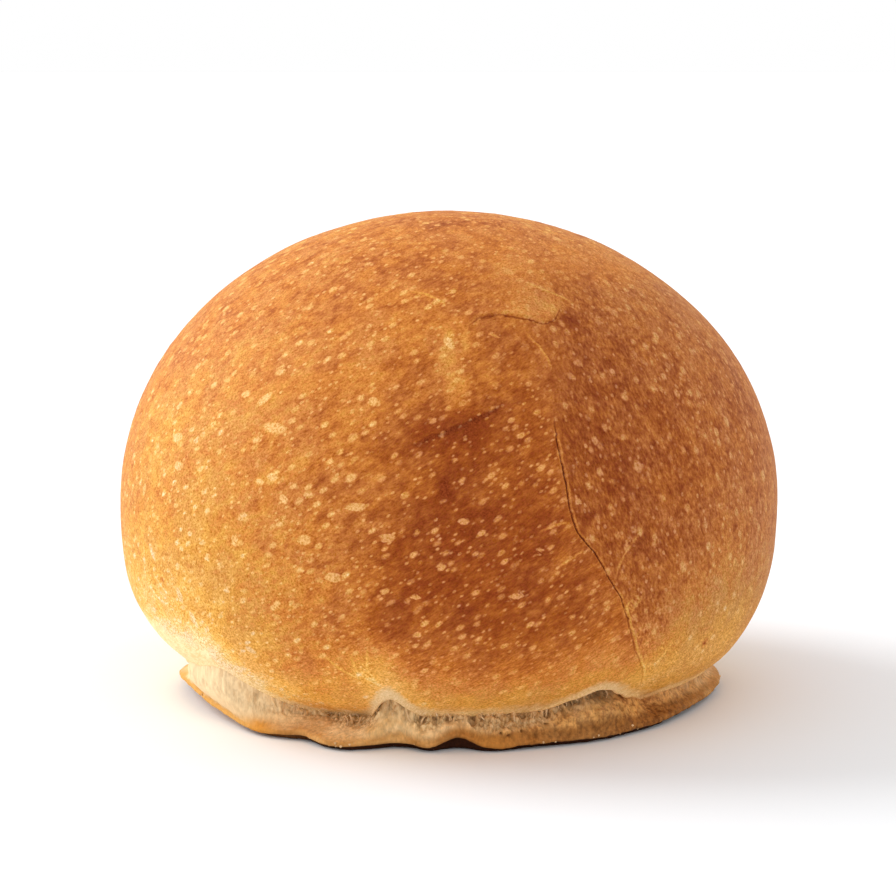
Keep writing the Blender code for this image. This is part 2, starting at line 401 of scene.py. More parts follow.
# Low on the left the skin was stretched bare, between two azimuths. Its top edge climbs to the
# left, and round the back it sinks again.
BARE_START, BARE_END = -46.9, -135
BARE_TOP, BARE_CLIMB = 10.3, -0.05
BARE_TURN, BARE_SINK = -72, 11
sunk = np.clip(BARE_TURN - azimuth, 0, 50) / 50
bare_top = BARE_TOP + BARE_CLIMB * azimuth - BARE_SINK * sunk**2
inside = np.minimum((BARE_START - azimuth) / 1.6, (azimuth - BARE_END) / 12)
store(crust, "bare_skin", np.clip(np.minimum(inside, (bare_top - height) / 4.0), -1, 1))
store(crust, "tan_edge", bumps(azimuth, TAN_EDGE))
round_share = points[:, 0] ** 2 + points[:, 1] ** 2
crack_side = np.radians(azimuth - crack_azimuth(height * MM)) * np.sqrt(round_share) / MM
store(crust, "crack_side", crack_side)
gape_heights, gapes = zip(*CRACK_GAPE)
store(crust, "crack_gape", np.interp(height, gape_heights, gapes) * (np.abs(crack_side) < 12))
lines = {name: beside_line(points, course) for name, (_, _, course) in FOLDS.items()}
lines["mark"] = np.full(len(points), 3.0), np.zeros(len(points))
for course in STRETCH_MARKS:
    side, nearness = beside_line(points, course, 1.0)
    closer = nearness > lines["mark"][1]
    lines["mark"][0][closer], lines["mark"][1][closer] = side[closer], nearness[closer]
for name, (side, nearness) in lines.items():
    store(crust, name + "_side", side)
    store(crust, name + "_near", nearness)
# The second layer of dough lies right of the crack. Its border blurs where the crack ends, and
# it runs out behind and at the crown.
blur = 0.35 + 2.4 * np.clip((height - 47) / 12, 0, 1)
right_of_crack = 1 / (1 + np.exp(-np.clip(crack_side, -40, 40) / blur))
in_front = 1 - np.clip((azimuth - 70) / 25, 0, 1)
below_crown = np.clip((68 - height) / 6, 0, 1)
store(crust, "second_dough", right_of_crack * in_front * below_crown)


class Wire:
    """A node socket that joins sums as a number does: each sum adds its own node."""

    def __init__(self, tree, socket=None):
        self.tree = tree
        self.socket = socket

    def node(self, kind, settings=None, inputs=None, output=0):
        """Adds a node with its settings and inputs, and gives back one of its outputs."""
        made = self.tree.nodes.new(kind)
        for name, value in (settings or {}).items():
            if name != "stops":
                setattr(made, name, value)
                continue
            for index, (place, colour) in enumerate(value):
                stops = made.color_ramp.elements
                stop = stops[index] if index < 2 else stops.new(place)
                stop.position, stop.color = place, colour
        for name, value in (inputs or {}).items():
            if isinstance(value, Wire):
                self.tree.links.new(value.socket, made.inputs[name])
            else:
                made.inputs[name].default_value = value
        return Wire(self.tree, made.outputs[output])

    def math(self, operation, *values):
        return self.node("ShaderNodeMath", {"operation": operation}, dict(enumerate(values)))

    def __add__(self, other):
        return self.math("ADD", self, other)

    def __sub__(self, other):
        return self.math("SUBTRACT", self, other)

    def __rsub__(self, other):
        return self.math("SUBTRACT", other, self)

    def __mul__(self, other):
        return self.math("MULTIPLY", self, other)

    def __truediv__(self, other):
        return self.math("DIVIDE", self, other)

    __radd__, __rmul__ = __add__, __mul__

    def power(self, exponent):
        return self.math("POWER", self, exponent)

    def top(self, other):
        return self.math("MAXIMUM", self, other)

    def size(self):
        return self.math("ABSOLUTE", self)

    def hump(self, width):
        """1 where the value is 0, falling to 0 over about that width on both sides."""
        share = self / width
        return self.math("POWER", math.e, share * share * -1.0)

    def ease(self, start, end, low=0.0, high=1.0):
        """Goes smoothly from low to high as the value goes from start to end."""
        inputs = {"Value": self, "From Min": start, "From Max": end, "To Min": low, "To Max": high}
        return self.node("ShaderNodeMapRange", {"interpolation_type": "SMOOTHSTEP"}, inputs)

    def vector(self, operation, *values, output=0):
        kind, inputs = {"operation": operation}, dict(enumerate((self, *values)))
        return self.node("ShaderNodeVectorMath", kind, inputs, output)

    def times(self, amount):
        """A vector made longer or shorter by an amount."""
        return self.node("ShaderNodeVectorMath", {"operation": "SCALE"}, {0: self, "Scale": amount})

    def noise(self, scale, detail=2.0, roughness=0.5, shift=0.0):
        """Soft noise, 0 to 1, over a place vector in mm, with features about scale mm wide."""
        place = self.vector("ADD", (shift, shift * 0.7, -shift)) if shift else self
        inputs = {"Vector": place, "Scale": 1 / scale, "Detail": detail, "Roughness": roughness}
        return self.node("ShaderNodeTexNoise", {"normalize": True}, inputs)


# How each of the two doughs was pulled: the direction across the pull, and how much its marks
# are squeezed along that direction, so that they look drawn out.
PULLS = [((-0.54, 0.0, 0.842), 0.75), ((0.93, 0.0, 0.36), 0.45)]


def grains(place, stretch=1.0):
    """The place in mm, squeezed so that round spots come out long: a pair, one for each dough.

    The skin was pulled up and round the roll on the crack's left, and down it on its right.
    """
    squeezed = []
    for normal, squeeze in PULLS:
        depth = place.vector("DOT_PRODUCT", normal, output=1) * (squeeze * stretch)
        squeezed.append(place.vector("ADD", depth.vector("MULTIPLY", normal)))
    return squeezed


def laid(pair, second_dough, pattern, *sizes):
    """A pattern laid along the pull of each dough, and blended where the two doughs meet."""
    first, second = (pattern(place, *sizes) for place in pair)
    return first + (second - first) * second_dough


def specks(pulled, cell, radius, share, soft=0.45, shift=0.0):
    """Round spots, faint to 1 inside and 0 outside, one in a share of the cells of a size in mm."""
    place = pulled.vector("ADD", (shift, -shift, shift * 0.5))
    inputs = {"Vector": place, "Scale": 1.1 / radius, "Detail": 1.0}
    bend = place.node("ShaderNodeTexNoise", {}, inputs, 1)
    bend = bend.vector("SUBTRACT", (0.5, 0.5, 0.5)).times(0.6 * radius)
    inputs = {"Vector": place.vector("ADD", bend), "Scale": 1 / cell}
    spots = place.node("ShaderNodeTexVoronoi", {}, inputs)
    draw = Wire(place.tree, spots.socket.node.outputs["Color"])
    draw = draw.vector("DOT_PRODUCT", (1.0, 0.0, 0.0), output=1)
    keep = draw.math("LESS_THAN", draw, share)
    reach = radius / cell
    faint = draw * (0.6 / share) + 0.4
    return spots.ease(reach * (1 + soft), reach * (1 - soft)) * keep * faint


# The blisters: the size of the cells that may hold one and its radius in mm, the share of the
# cells that do, how soft its edge is, and a shift that sets them apart from the others.
FINE_SPOTS = (1.3, 0.30, 0.80)
MIDDLING_SPOTS = (2.5, 0.60, 0.82, 0.4, 40.0)
LARGE_SPOTS = (6.5, 0.85, 0.4, 0.35, 90.0)


def crust_spots(place, second_dough):
    """The three sizes of blister on the crust: fine, middling and large. They come in crowds."""
    pulled = grains(place)
    crowd = place.noise(9.0, 2.0, 0.5, 20.0).ease(0.32, 0.55, 0.55, 1.0)
    fine = laid(pulled, second_dough, specks, *FINE_SPOTS) * crowd
    middling = laid(pulled, second_dough, specks, *MIDDLING_SPOTS) * crowd
    large = laid(pulled, second_dough, specks, *LARGE_SPOTS)
    return fine, middling, large


def named(tree, name):
    """Reads one of the numbers stored on the points of a piece, in either kind of tree."""
    start = Wire(tree)
    if tree.bl_idname == "GeometryNodeTree":
        reader = {"data_type": "FLOAT"}
        return start.node("GeometryNodeInputNamedAttribute", reader, {"Name": name})
    return start.node("ShaderNodeAttribute", {"attribute_name": name}, {}, 2)


def shape_tree(name, sizes):
    """An empty tree for a Geometry Nodes modifier, with named size inputs."""
    tree = bpy.data.node_groups.new(name, "GeometryNodeTree")
    for way in ("INPUT", "OUTPUT"):
        tree.interface.new_socket("Geometry", in_out=way, socket_type="NodeSocketGeometry")
    for size, value in sizes.items():
        socket = tree.interface.new_socket(size, in_out="INPUT", socket_type="NodeSocketFloat")
        socket.default_value = value
    given = tree.nodes.new("NodeGroupInput")
    return tree, {output.name: Wire(tree, output) for output in given.outputs if output.name}


def close_tree(shape, material):
    """Ends a tree: realized, with its material set."""
    shape = shape.node("GeometryNodeRealizeInstances", {}, {"Geometry": shape})
    shape = shape.node("GeometryNodeSetMaterial", {}, {"Geometry": shape, "Material": material})
    out = shape.tree.nodes.new("NodeGroupOutput")
    shape.tree.links.new(shape.socket, out.inputs[0])


def pushed_out(shape, depth):
    """Moves every point along its normal by a depth in mm."""
    normal = shape.node("GeometryNodeInputNormal")
    push = {"Geometry": shape, "Offset": normal.times(depth * MM)}
    return shape.node("GeometryNodeSetPosition", {}, push)


def grown(piece, tree, sizes):
    """Runs a tree on a piece with the given sizes, and leaves the result as its plain mesh."""
    modifier = piece.modifiers.new(tree.name, "NODES")
    modifier.node_group = tree
    for item in tree.interface.items_tree:
        if item.item_type == "SOCKET" and item.in_out == "INPUT" and item.name in sizes:
            modifier[item.identifier] = sizes[item.name]
    bpy.context.view_layer.update()
    seen = piece.evaluated_get(bpy.context.evaluated_depsgraph_get())
    mesh = bpy.data.meshes.new_from_object(seen)
    piece.modifiers.remove(modifier)
    old, piece.data = piece.data, mesh
    bpy.data.meshes.remove(old)
    mesh.name = piece.name
    mesh.shade_smooth()


# How a crack, fold or mark wanders off its course: the size of its turns in mm, their detail,
# their roughness and a shift, and how far it wanders in mm.
WANDER = (2.4, 3.0, 0.65, 70.0)
WANDER_WIDTH = 0.9


def side_of(tree, line, place):
    """Distance in mm from the wandering middle of a crack, fold or mark."""
    return named(tree, line + "_side") + (place.noise(*WANDER) - 0.5) * WANDER_WIDTH


CRUST_RELIEF = {
    "Swell": 0.45,
    "Dimple": 0.16,
    "Blister": 0.07,
    "Flake": 0.05,
    "Crack depth": 0.20,
    "Crack step": 0.15,
    "Fold step": 0.28,
    "Stretch": 0.15,
}


def crust_relief(material):
    """The crust's own relief: its swells, dimples and blisters, the crack, and the folds."""
    tree, given = shape_tree("crust relief", CRUST_RELIEF)
    start = Wire(tree)
    place = start.node("GeometryNodeInputPosition").times(1 / MM)
    fine, middling, large = crust_spots(place, named(tree, "second_dough"))
    depth = given["Swell"] * (place.noise(19.0, 1.0) - 0.5)
    depth += given["Dimple"] * (place.noise(4.5, 3.0, shift=60.0) - 0.5)
    depth += given["Blister"] * (middling * 0.7 + large)
    depth += given["Flake"] * named(tree, "flake").ease(-0.1, 0.4)
    side, gape = side_of(tree, "crack", place), named(tree, "crack_gape")
    depth -= given["Crack depth"] * side.hump(0.15) * gape
    depth += given["Crack step"] * side.ease(0.0, 0.35) * side.ease(3.5, 0.4) * gape
    for fold, (width, _, _) in FOLDS.items():
        side, near = side_of(tree, fold, place), named(tree, fold + "_near")
        above = side.ease(-0.1, 0.3) * side.ease(3.0, 0.6)
        depth += given["Fold step"] * (above - side.hump(width * 1.6) * 0.6) * near
    depth += given["Stretch"] * side_of(tree, "mark", place).hump(0.3) * named(tree, "mark_near")
    close_tree(pushed_out(given["Geometry"], depth), material)
    return tree


# Colours of baked dough, as bare surface colours, from raw cream to scorched brown. The ramp
# starts at a browning of PALEST.
PALEST = -0.25
BAKED = [
    (0.00, (0.84, 0.62, 0.34, 1)),
    (0.10, (0.80, 0.55, 0.235, 1)),
    (0.20, (0.82, 0.488, 0.145, 1)),
    (0.34, (0.755, 0.380, 0.083, 1)),
    (0.41, (0.695, 0.342, 0.070, 1)),
    (0.48, (0.645, 0.296, 0.060, 1)),
    (0.55, (0.63, 0.264, 0.054, 1)),
    (0.616, (0.605, 0.229, 0.048, 1)),
    (0.69, (0.55, 0.187, 0.037, 1)),
    (0.76, (0.455, 0.136, 0.025, 1)),
    (0.824, (0.365, 0.095, 0.016, 1)),
    (0.896, (0.305, 0.068, 0.010, 1)),
    (1.00, (0.225, 0.038, 0.006, 1)),
]
# The crust's hue drifts between two tints. The second dough is a little bluer, and darker as
# painted shade on the side away from the light. The crust's fine grain changes red least and blue
# most. Its blisters are blended with a paler tan.
GOLDEN_TINT = (1.025, 0.995, 0.86, 1)
MAUVE_TINT = (0.99, 0.975, 1.03, 1)
SECOND_TINT_AND_SHADE = (0.85, 0.84, 1.02, 1)
GRAIN = (1.0, 1.5, 2.6)
DARKEST_GRAIN = -0.36
FLECK = (0.78, 0.415, 0.19, 1)
BARE_SKIN = (0.95, 0.77, 0.45, 1)
FOLDED_SKIN = (0.88, 0.59, 0.26, 1)
PALE_EDGE = (0.86, 0.62, 0.32, 1)
TAN_SKIN = (0.74, 0.52, 0.28, 1)


def surface(name, sheen=0.07):
    """A new material, its Principled shader and a wire to start from."""
    material = bpy.data.materials.new(name)
    material.use_nodes = True
    shader = material.node_tree.nodes["Principled BSDF"]
    shader.inputs["Specular IOR Level"].default_value = sheen
    return material, shader, Wire(material.node_tree)


def place_mm(start):
    """The piece's own coordinates, in mm."""
    return start.node("ShaderNodeTexCoord", {}, {}, 3).times(1 / MM)


def link(wire, shader, socket):
    wire.tree.links.new(wire.socket, shader.inputs[socket])


def mixed(factor, first, second, blend="MIX"):
    """Two colours mixed by a factor."""
    settings = {"data_type": "RGBA", "blend_type": blend}
    return factor.node("ShaderNodeMix", settings, {0: factor, 6: first, 7: second}, 2)


# The unevenness of the browning, from long streaks to a fine peppering: the size of its features
# in mm, its detail, its roughness and a shift. The hair is drawn out HAIR_STRETCH times more.
STREAK = (6.5, 3.0, 0.55, 10.0)
MOTTLE = (1.8, 3.0, 0.65, 30.0)
HAIR = (0.8, 2.0, 0.6, 33.0)
PEPPER = (0.29, 2.0, 0.75, 50.0)
HAIR_STRETCH = 3.5


def bumped(height, strength, distance):
    """A normal that shows relief too fine for the mesh: a height, times a distance in mm."""
    relief = {"Height": height, "Strength": strength, "Distance": distance * MM}
    return height.node("ShaderNodeBump", {}, relief)


def baked_crust():
    """Crust finish: browned in soft patches and streaks, with pale blisters, a dull sheen, and
    painted light and shade.
    """
    material, shader, start = surface("baked_crust")
    tree = material.node_tree
    place = place_mm(start)
    second = named(tree, "second_dough")
    pulled, drawn = grains(place), grains(place, HAIR_STRETCH)
    fine, middling, large = crust_spots(place, second)
    above = named(tree, "above_tear")
    streak = (laid(pulled, second, Wire.noise, *STREAK) - 0.5) * (1.0 - second * 0.4)
    mottle = laid(pulled, second, Wire.noise, *MOTTLE) - 0.5
    hair = laid(drawn, second, Wire.noise, *HAIR) - 0.5
    pepper = place.noise(*PEPPER) - 0.5
    level = named(tree, "browning") * (pepper * 0.9 + 1.0)
    near_tear = above.ease(15.0, 5.0)
    leftward = place.vector("DOT_PRODUCT", (-1.0, 0.0, 0.0), output=1)
    cloudy = leftward.ease(4.0, 30.0) * 0.22 - near_tear * 0.34 + 0.62
    hairy = second * 0.26 + near_tear * 0.20 + 0.34
    level += streak * 0.50 + mottle * cloudy + hair * hairy
    level -= above.ease(9.0, 0.0) * 0.42 + above.ease(1.2, 0.0) * 0.10
    lively = leftward.ease(-28.0, 32.0, 0.90, 1.4) * (1.0 - near_tear * 0.2)
    spots = fine * 0.30 + middling * 0.42
    flake = (named(tree, "flake") + mottle * 0.7).ease(-0.08, 0.25)
    level -= spots.top(large * 0.40).top(flake * 0.32) * lively
    level -= side_of(tree, "mark", place).hump(0.19) * named(tree, "mark_near") * 0.34
    side, gape = side_of(tree, "crack", place), named(tree, "crack_gape")
    broken = place.noise(2.5, 1.0, 0.5, 75.0).ease(0.3, 0.5, 0.5)
    # Painted shade: the crack's thin dark line, browned and darkened. Painted highlights: the pale
    # lines along both its edges, just below.
    line = side.hump(0.08) * gape * broken
    level += line * 0.35
    crease_shade = line * 0.55
    level -= ((side - 0.27).hump(0.13) * 0.22 + (side + 0.24).hump(0.10) * 0.13) * gape
    # Painted shade: each fold's dark line. Painted highlight: the pale ridge just above it.
    for fold, (width, darkness, _) in FOLDS.items():
        side, near = side_of(tree, fold, place), named(tree, fold + "_near") * broken
        crease_shade += side.hump(width) * near * darkness * 0.35
        level += (side.hump(width) * darkness - (side - 0.45).hump(0.28) * 0.12) * near
    ramp_place = (level - PALEST) / (1 - PALEST)
    colour = start.node("ShaderNodeValToRGB", {"stops": BAKED}, {"Fac": ramp_place})
    hue = place.noise(4.5, 2.0, 0.5, 80.0).ease(0.38, 0.62)
    tint = mixed(hue, GOLDEN_TINT, MAUVE_TINT)
    colour = colour.vector("MULTIPLY", tint)
    colour = mixed(fine.top(middling).top(large).top(flake) * lively * 0.32, colour, FLECK)
    bare = (named(tree, "bare_skin") + mottle * 0.7).ease(-0.1, 0.4)
    bare_skin = mixed((hair * 0.8 + mottle).ease(-0.16, 0.10), FOLDED_SKIN, BARE_SKIN)
    colour = mixed(bare * 0.9, colour, bare_skin)
    tan = named(tree, "tan_edge")
    torn_edge = (above + mottle * 2.0).ease(1.5, 0.2) * (tan * 0.40 + 0.45)
    colour = mixed(torn_edge, colour, mixed(tan, PALE_EDGE, TAN_SKIN))
    smoother = 1.0 - bare.top(torn_edge) * 0.7
    grain = pepper * (level.ease(0.45, 0.75) * 0.5 + 1.7) * smoother
    grain = (grain - hair * 0.14).top(DARKEST_GRAIN)
    grain = grain.vector("MULTIPLY_ADD", GRAIN, (1, 1, 1))
    colour = colour.vector("MULTIPLY", grain)
    # Painted shade, with a real bluer tint: the second dough is darkened, less so low down and near
    # the crown.
    bluer_and_shaded = second * above.ease(5.0, 15.0) * above.ease(60.5, 55.5)
    colour = colour.vector("MULTIPLY", mixed(bluer_and_shaded, (1, 1, 1, 1), SECOND_TINT_AND_SHADE))
    # Painted light: the skin within about 15 mm of the tear is lightened by up to a tenth. Painted
    # shade: the crack and fold lines are darkened.
    colour = colour.times(above.ease(15.0, 4.0) * 0.10 + 1.0 - crease_shade)
    link(colour, shader, "Base Color")
    rough = (mottle * 0.25 + 0.6) + spots * 0.12
    link(rough, shader, "Roughness")
    skin = pepper * 0.12 + mottle * 0.14 + spots * 0.10
    link(bumped(skin, 0.7, 0.5), shader, "Normal")
    return material


crust_finish = baked_crust()
grown(crust, crust_relief(crust_finish), CRUST_RELIEF)
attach(crust, "root")
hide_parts("bread_roll")

# --- The torn crumb and the base -------------------------------------------------------------
# Where the rising dough tore the skin off its base, the crumb shows as a low band of pale
# strands and burst bubbles. Below it the base's own skin bulges out to a thin rim, and under
# the rim stands the scorched foot, darkened further with painted shade. The hollows, bubble
# pits and clefts between the fibres are darkened with painted shade too. It is one closed
# piece, tucked up inside the crust's edge.

RIM_RADIUS = 0.827 * HALF_WIDTH
FOOT_RADIUS = 0.70 * HALF_WIDTH
RIM_TOP = 1.8
RIM_BOTTOM = 0.95
BASE_COLUMNS = 1408
BAND_ROWS = 36
INNER_RINGS = (1.2, 2.5, 5, 10, 20, 31)
INNER_HEIGHT = 11 * MM

# Where the rim stands out and lifts off the table: (azimuth, spread in degrees, both in mm).
RIM_LOBES = [
    (-100, 9, -1.8, 0.0), (-70, 12, 0.2, 1.7), (-39, 7, 1.6, -0.45), (-29.5, 2.2, -0.7, 0.2),
    (-20.5, 5, 2.5, -0.4), (-10, 3, -0.8, 0.0), (-3.5, 2.4, 1.2, -0.35), (2, 2.6, -0.7, 1.1),
    (9, 4.5, 1.1, -0.4), (28, 9, 1.0, -0.3), (45, 8, 0.4, -0.2), (84, 9, 0.6, 0.2),
    (102, 8, -1.5, 0.0), (135, 10, -0.8, 0.4), (165, 9, 0.6, 0.0), (-150, 10, 0.5, 0.2),
    (-125, 9, -0.8, 0.3),
]
# How far the scorched foot, painted dark as shade, draws back under the rim: (azimuth, spread in
# degrees, mm).
TUCKED = [(-73, 15, 3.5), (82, 14, 3.0), (170, 40, 1.0)]
# Hollows torn in behind the crust's edge: (azimuth, half width in degrees, depth in mm, and
# how far down the band they reach, as a share).
HOLLOWS = [
    (-63, 0.9, 0.4, 0.6), (-57, 0.6, 0.35, 0.6), (-31, 3.5, 0.5, 0.4), (-21, 2.5, 0.8, 0.4),
    (-15.5, 1.6, 0.8, 0.45), (-11.2, 3.8, 1.5, 0.8), (14, 1.8, 0.5, 0.4), (19, 2.2, 0.6, 0.4),
    (25, 1.2, 1.8, 0.6), (31.5, 3.6, 2.8, 0.6), (38, 2.0, 0.5, 0.4), (120, 3.0, 1.2, 0.6),
    (131, 2.0, 0.8, 0.5), (177, 3.5, 1.4, 0.6), (-143, 2.5, 0.9, 0.5), (-133, 2.0, 0.8, 0.5),
]
# Burst bubbles with a thin raised edge: (azimuth, then height, half width, half height and
# depth in mm).
BUBBLES = [
    (-20.7, 4.6, 0.9, 0.5, 0.5), (-16.3, 4.4, 0.7, 0.5, 0.6), (-14.7, 5.3, 0.6, 0.6, 0.5),
    (-5.1, 4.3, 0.55, 0.75, 0.6), (-2.8, 4.2, 0.4, 0.6, 0.5), (0.2, 4.3, 0.65, 0.7, 0.6),
    (5.1, 4.4, 0.6, 0.9, 0.6), (10.1, 2.5, 0.22, 0.16, 0.5), (11.6, 2.2, 0.32, 0.18, 0.5),
    (14.2, 2.6, 0.25, 0.2, 0.5), (15.1, 4.2, 0.5, 0.5, 0.5), (17.0, 5.2, 0.5, 0.5, 0.5),
    (19.5, 3.2, 0.4, 0.25, 0.5), (20.0, 4.3, 0.5, 0.4, 0.5), (23.2, 4.6, 0.5, 0.7, 0.6),
    (36.5, 4.0, 0.5, 0.7, 0.5), (104, 4.4, 0.8, 0.6, 0.6), (141, 3.8, 0.6, 0.6, 0.5),
    (-172, 4.6, 0.7, 0.7, 0.6), (-126, 4.0, 0.6, 0.5, 0.5),
]
# How far down the band the bare crumb reaches, before the base's skin: (azimuth, share).
BARE = [(-180, 0.6), (-95, 0.6), (-72, 0.7), (-46, 0.75), (-34, 0.75), (-8, 0.7), (12, 0.75)]
BARE += [(22, 0.6), (31, 0.48), (40, 0.28), (55, 0.12), (85, 0.12), (110, 0.5), (180, 0.6)]
# The bare band bulges at the front and on the left: (azimuth, spread in degrees). Its top is
# tucked up behind the crust's edge and stands back from it, and its foot from the rim: mm.
FRONT, LEFT = (8, 36), (-57, 15)
BAND_TUCK, BAND_INSET, RIM_INSET = 0.7, 0.95, 0.3
# Patches of colour round the base: (azimuth, spread in degrees, share).
BASE_PATCHES = {
    "toasted": [(-38.5, 2.2, 1.0), (9, 4, 0.8)],
    "seared": [(-31.5, 3.5, 0.55), (5, 4, 0.6), (12, 3, 0.6)],
    "golden": [(-62, 20, 1.0), (150, 40, 1.0)],
    "ruddy": [(43, 22, 1.0), (12, 7, 0.5)],
}
# Where crumbs stick to the rim's edge, which has this band number.
CRUMBLY = [(-22, 4, 1.0), (-4, 2, 0.5), (36, 8, 0.5)]
RIM_EDGE = 1.13
# The section of rim and foot: (mm in from the rim's edge, height in mm, band number). The band
# number runs from 0 at the tear's top to 1 on the rim's top, and on to 2 on the underside.
RIM_SECTION = [(0.1, 1.6, 1.1), (0, 1.3, RIM_EDGE), (0.12, 1.08, 1.16), (0.35, RIM_BOTTOM, 1.22)]
FOOT_SECTION = [(0.9, 0.75, 1.4), (1.0, 0.4, 1.5), (1.1, 0.15, 1.8), (1.6, 0.03, 1.9)]


def rim_shape(azimuth):
    """How far the rim stands out and how high it lifts, in mm."""
    out = sum(out * bump(azimuth, at, spread) for at, spread, out, _ in RIM_LOBES)
    lift = sum(lift * bump(azimuth, at, spread) for at, spread, _, lift in RIM_LOBES)
    return out, lift


def apart_from(azimuth, height, at, level, wide, tall):
    """How far a place on the band is from a bubble's middle: 1 on the bubble's edge."""
    aside = np.radians((azimuth - at + 180) % 360 - 180) * RIM_RADIUS / MM / wide
    return np.hypot(aside, (height - level) / tall)


def band_ring(azimuth, share):
    """One ring of the torn band: share 0 is up behind the crust's edge, 1 is on the rim's top."""
    edge = tear_height(azimuth)
    out, lift = rim_shape(azimuth)
    front, left = bump(azimuth, *FRONT), bump(azimuth, *LEFT)
    sweep = share ** (3.4 - 2.5 * front)
    rim = RIM_RADIUS + (out - RIM_INSET) * MM
    radius = (sagged(azimuth, edge) - (BAND_INSET - 0.6 * left) * MM) * (1 - sweep) + rim * sweep
    radius += (0.9 * front + 0.6 * left - 0.45) * MM * math.sin(math.pi * share**1.3)
    top, bottom = edge + BAND_TUCK * MM, (RIM_TOP + lift) * MM
    height = top + (bottom - top) * share
    for at, width, depth, reach in HOLLOWS:
        radius -= depth * MM * bump(azimuth, at, width) * min(1, max(0, (reach - share) / 0.25))
    for at, level, wide, tall, depth in BUBBLES:
        apart = apart_from(azimuth, height / MM, at, level, wide, tall)
        radius += depth * MM * (0.3 * np.exp(-(((apart - 1.2) / 0.25) ** 2)) - np.exp(-(apart**4)))
    return kneaded(azimuth, radius, height)


def rim_ring(azimuth, inward, height):
    """One ring round the rim, or on the foot under it, with the rim's uneven outline."""
    out, lift = rim_shape(azimuth)
    torn = 0.16 * ragged(azimuth, 2.5, 8.5) + 0.07 * ragged(azimuth, 0.7, 4.5)
    if height < RIM_BOTTOM:
        inward = inward + bumps(azimuth, TUCKED) + 0.5 * ragged(azimuth, 2.0, 15.5)
    raised = height + (lift + 0.1 * ragged(azimuth, 1.5, 6.5)) * min(1, height / RIM_BOTTOM)
    radius = RIM_RADIUS + MM * (out + torn - inward)
    return kneaded(azimuth, radius, MM * np.maximum(raised, 0.02))


def flat_ring(radius, height):
    """One plain ring of the base, with fewer points near the middle."""
    count = ring_columns(radius, BASE_COLUMNS)
    azimuth = np.arange(count) * 360 / count - 180
    return kneaded(azimuth, np.full(count, radius), height)


rings = [flat_ring(radius * MM, INNER_HEIGHT) for radius in INNER_RINGS]
band = [-1.0] * len(rings)
all_round = np.arange(BASE_COLUMNS) * 360 / BASE_COLUMNS - 180
for row in range(BAND_ROWS + 1):
    rings.append(band_ring(all_round, row / BAND_ROWS))
    band.append(row / BAND_ROWS)
for inward, height, number in RIM_SECTION + FOOT_SECTION:
    rings.append(rim_ring(all_round, inward, height))
    band.append(number)
rings += [flat_ring(FOOT_RADIUS, 0.0)] + [flat_ring(MM * r, 0.0) for r in reversed(INNER_RINGS)]
band += [2.0] * (len(rings) - len(band))
base = closed_skin("torn_crumb_and_base", rings, (0, 0, INNER_HEIGHT), (0, 0, 0))
points, azimuth, height = points_of(base)
band = np.concatenate([[-1.0], np.repeat(band, [len(ring) for ring in rings]), [2.0]])
bare_azimuths, bare_shares = zip(*BARE)
bare = np.interp(azimuth, bare_azimuths, bare_shares) + 0.12 * ragged(azimuth, 2.0, 12.5)
store(base, "band", band)
store(base, "torn", np.clip((bare - band) / 0.2, 0, 1) * (band >= 0))
on_edge = np.clip(1 - np.abs(band - RIM_EDGE) / 0.12, 0, 1)
store(base, "rim_edge", on_edge * (0.12 + bumps(azimuth, CRUMBLY)))
# Where the bubble pits and the hollows lie: the finish darkens them as painted shade.
pits = [np.exp(-(apart_from(azimuth, height, *bubble[:4]) ** 4)) for bubble in BUBBLES]
hollow_shade = sum(
    min(1.0, deep / 2.6) * bump(azimuth, at, wide) * np.clip((reach - band) / 0.25, 0, 1)
    for at, wide, deep, reach in HOLLOWS
)
store(base, "hollow_shade", hollow_shade * (band > 0.04))
store(base, "pit_shade", np.max(pits, axis=0) * (band > 0) * (band < 1))
for name, places in BASE_PATCHES.items():
    store(base, name, bumps(azimuth, places))

BASE_RELIEF = {"Strand": 0.42, "Bubble": 0.35, "Fibre": 0.5, "Skin": 0.22, "Grain": 0.08}


def fibres(place):
    """The crumb's upright fibres: 1 in the clefts between them, and 0 elsewhere."""
    upright = place.vector("MULTIPLY", (1.0, 1.0, 0.28))
    cleft = (upright.noise(1.0, 2.0, 0.6) - 0.5).size()
    return (1.0 - cleft * 2.0).power(7.0)


def crumb_relief(material):
    """The crumb's upright strands and bubbles, and the soft unevenness of the skin below."""
    tree, given = shape_tree("crumb relief", BASE_RELIEF)
    start = Wire(tree)
    place = start.node("GeometryNodeInputPosition").times(1 / MM)
    upright = place.vector("MULTIPLY", (1.0, 1.0, 0.35))
    torn, band = named(tree, "torn"), named(tree, "band")
    smooth = 1.0 - named(tree, "golden").ease(0.0, 1.0) * 0.6
    on_band = band.ease(1.05, 0.95) * (torn * 0.7 + 0.3) * smooth
    depth = on_band * (0.3 - fibres(place)) * given["Strand"]
    depth += on_band * (upright.noise(0.55, 1.0, 0.5, 45.0) - 0.5) * given["Fibre"]
    cells = start.node("ShaderNodeTexVoronoi", {}, {"Vector": upright, "Scale": 1 / 1.3})
    depth -= given["Bubble"] * torn * cells.ease(0.42, 0.1)
    rough = named(tree, "ruddy") * 1.3 + 1.0
    depth += given["Skin"] * (place.noise(3.2, 3.0, 0.55, 15.0) - 0.5) * rough
    depth += given["Grain"] * (place.noise(0.9, 2.0, 0.6, 25.0) - 0.5) * rough * rough
    close_tree(pushed_out(given["Geometry"], depth * band.ease(1.8, 1.5)), material)
    return tree


